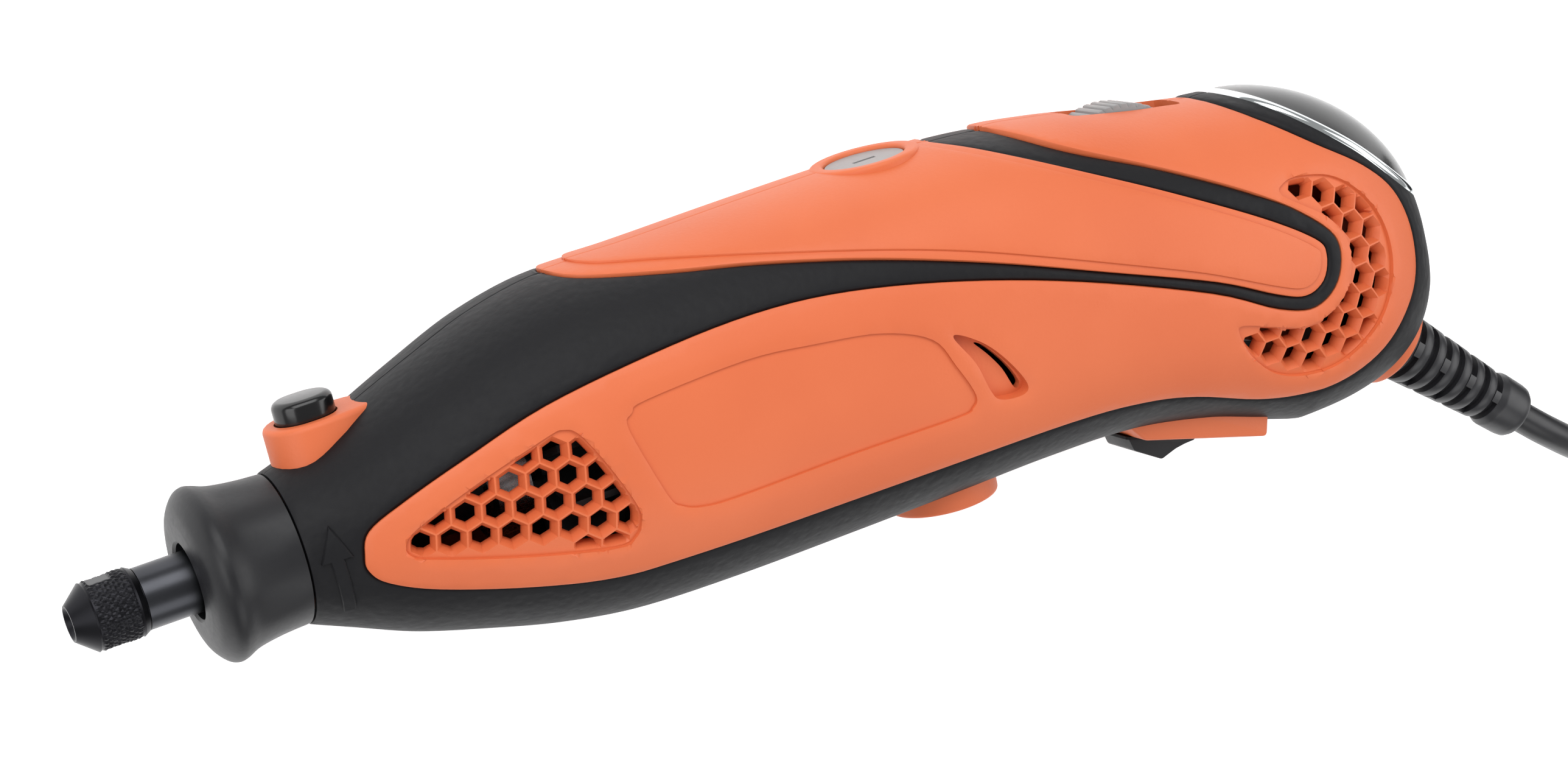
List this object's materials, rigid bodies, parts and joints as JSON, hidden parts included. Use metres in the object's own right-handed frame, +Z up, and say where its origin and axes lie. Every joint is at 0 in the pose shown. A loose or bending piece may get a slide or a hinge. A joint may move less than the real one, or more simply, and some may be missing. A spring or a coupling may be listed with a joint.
{
  "type": "rotary tool",
  "caption": "Corded rotary tool with collet, screw-on nose cap, orange housing with soft grip and honeycomb vents, speed dial, slide switch, motor inside, and a coiled cord with plug.",
  "frame": {"origin": "on the surface the tool lies on, under the middle of the tool without its cord", "axes": "+X from the collet to the cord along the spindle, +Y towards the speed dial, +Z up, out of the side with the lettering field that faces the viewer"},
  "size_m": [0.4315, 0.1085, 0.0488],
  "materials": {
    "orange_plastic": "satin moulded",
    "soft_black": "matt overmould",
    "black_plastic": "satin moulded",
    "gloss_black": "polished",
    "chrome": "bright plated",
    "steel": "ground",
    "dark_steel": "black oxide",
    "grey_metal": "turned",
    "laminations": "stacked sheets",
    "copper": "enamelled wire",
    "brass": "bright",
    "carbon": "matt",
    "fan_plastic": "moulded",
    "board": "solder mask",
    "blue_plastic": "moulded",
    "yellow_plastic": "moulded",
    "cord_rubber": "matt"
  },
  "bodies": {
    "tool": {"spindle_bearing_front": "steel", "spindle_bearing_rear": "steel", "bearing_carrier": "grey_metal", "housing_left": "orange_plastic", "housing_right": "orange_plastic", "grip_left": "soft_black", "grip_right": "soft_black", "lock_spring": "steel", "motor_bearing_front": "steel", "motor_bearing_rear": "steel", "field_core": "laminations", "field_coil_left": "copper", "field_coil_right": "copper", "brush_holder_top": "brass", "brush_holder_bottom": "brass", "brush_spring_top": "steel", "brush_spring_bottom": "steel", "potentiometer": "blue_plastic", "control_board": "board", "suppressor": "yellow_plastic", "switch_body": "black_plastic", "badge_trim": "chrome", "badge_insert": "gloss_black", "strain_relief": "cord_rubber", "cord_clamp": "black_plastic", "screw_1": "steel", "screw_2": "steel", "screw_3": "steel", "screw_4": "steel", "screw_5": "steel", "screw_6": "steel", "screw_7": "steel", "power_cord": "cord_rubber", "cord_coil": "cord_rubber", "cord_tail": "cord_rubber", "cord_tie": "cord_rubber", "plug_body": "cord_rubber", "plug_pins": "steel"},
    "spindle": {"spindle": "dark_steel", "collet": "steel", "drive_coupler": "black_plastic", "motor_shaft": "steel", "armature_core": "laminations", "armature_windings": "copper", "commutator": "copper", "cooling_fan": "fan_plastic"},
    "collet_nut": {"collet_nut": "dark_steel"},
    "nose_cap": {"nose_cap": "black_plastic"},
    "lock_button": {"lock_button": "black_plastic", "lock_pin": "steel"},
    "speed_dial": {"speed_dial": "black_plastic", "dial_shaft": "steel"},
    "switch_slider": {"switch_slider": "black_plastic"},
    "brush_cap_top": {"brush_cap_top": "grey_metal"},
    "brush_cap_bottom": {"brush_cap_bottom": "grey_metal"},
    "brush_top": {"brush_top": "carbon"},
    "brush_bottom": {"brush_bottom": "carbon"}
  },
  "joints": [
    {"name": "spindle_spin", "type": "hinge", "parent": "tool", "child": "spindle", "pos_m": [-0.12873, 0.01236, 0.02442], "axis": [1, 0, 0], "continuous": true},
    {"name": "collet_nut_unscrew", "type": "slide", "parent": "spindle", "child": "collet_nut", "axis": [-1, 0, 0], "range_m": [0, 0.004]},
    {"name": "nose_cap_unscrew", "type": "slide", "parent": "tool", "child": "nose_cap", "axis": [-1, 0, 0], "range_m": [0, 0.008]},
    {"name": "lock_button_press", "type": "slide", "parent": "tool", "child": "lock_button", "axis": [0, -1, 0], "range_m": [0, 0.0026], "stiffness_N_per_m": 600, "deforming": ["lock_spring"]},
    {"name": "speed_dial_turn", "type": "hinge", "parent": "tool", "child": "speed_dial", "pos_m": [0.05876, 0.02456, 0.02442], "axis": [0, 0, 1], "range_deg": [0, 270]},
    {"name": "switch_slide", "type": "slide", "parent": "tool", "child": "switch_slider", "axis": [0.9578, -0.2874, 0], "range_m": [0, 0.006]},
    {"name": "brush_cap_top_unscrew", "type": "slide", "parent": "tool", "child": "brush_cap_top", "axis": [0, 1, 0], "range_m": [0, 0.008]},
    {"name": "brush_cap_bottom_unscrew", "type": "slide", "parent": "tool", "child": "brush_cap_bottom", "axis": [0, -1, 0], "range_m": [0, 0.008]},
    {"name": "brush_top_lift", "type": "slide", "parent": "tool", "child": "brush_top", "axis": [0, 1, 0], "range_m": [0, 0.0018], "stiffness_N_per_m": 300, "deforming": ["brush_spring_top"]},
    {"name": "brush_bottom_lift", "type": "slide", "parent": "tool", "child": "brush_bottom", "axis": [0, -1, 0], "range_m": [0, 0.0018], "stiffness_N_per_m": 300, "deforming": ["brush_spring_bottom"]}
  ]
}
